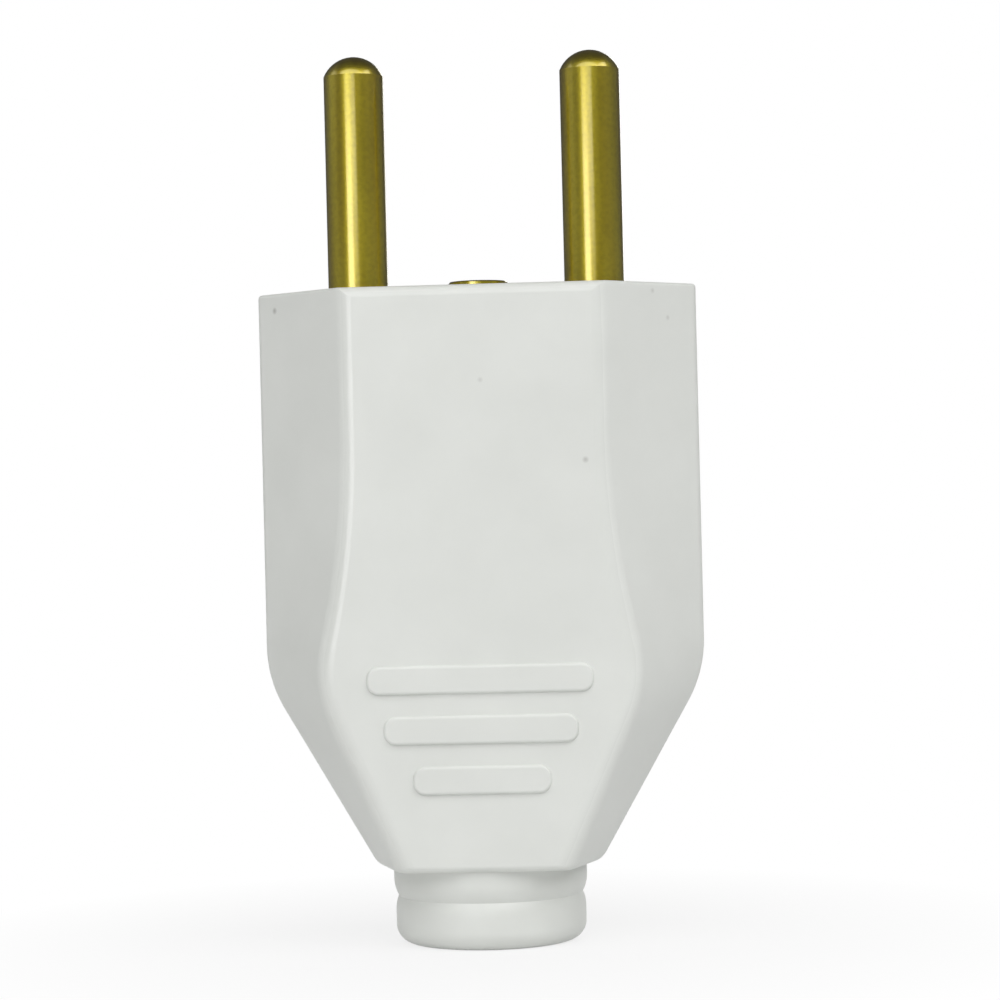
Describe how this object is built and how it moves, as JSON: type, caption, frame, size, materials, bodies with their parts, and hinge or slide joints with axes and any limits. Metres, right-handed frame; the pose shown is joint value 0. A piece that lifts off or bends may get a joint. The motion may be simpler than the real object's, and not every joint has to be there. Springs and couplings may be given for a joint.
{
  "type": "two-pin plug",
  "caption": "Rewirable mains plug: a tapered hexagonal two-shell housing with round brass pins, grip ribs, screw terminals, a cord clamp and a cable grommet.",
  "frame": {"origin": "middle of the ring at the cord end, on the surface the plug stands on", "axes": "+Z along the pins, out of the face; +X from the left pin to the right pin; -Y out of the front shell"},
  "size_m": [0.0352, 0.0172, 0.0712],
  "materials": {
    "housing": "white moulded thermoplastic, semi-gloss",
    "contact_brass": "turned brass, lightly tarnished",
    "screw_steel": "zinc-plated steel",
    "grommet": "white soft moulded plastic, satin",
    "clamp": "white moulded plastic, satin"
  },
  "bodies": {
    "root": {"front_shell": "housing", "rear_shell": "housing", "left_pin": "contact_brass", "right_pin": "contact_brass", "left_terminal_screw": "screw_steel", "right_terminal_screw": "screw_steel", "blanking_stud": "contact_brass", "cable_grommet": "grommet", "cord_clamp": "clamp", "left_clamp_screw": "screw_steel", "right_clamp_screw": "screw_steel", "housing_screw": "screw_steel", "housing_nut": "screw_steel"}
  },
  "joints": []
}
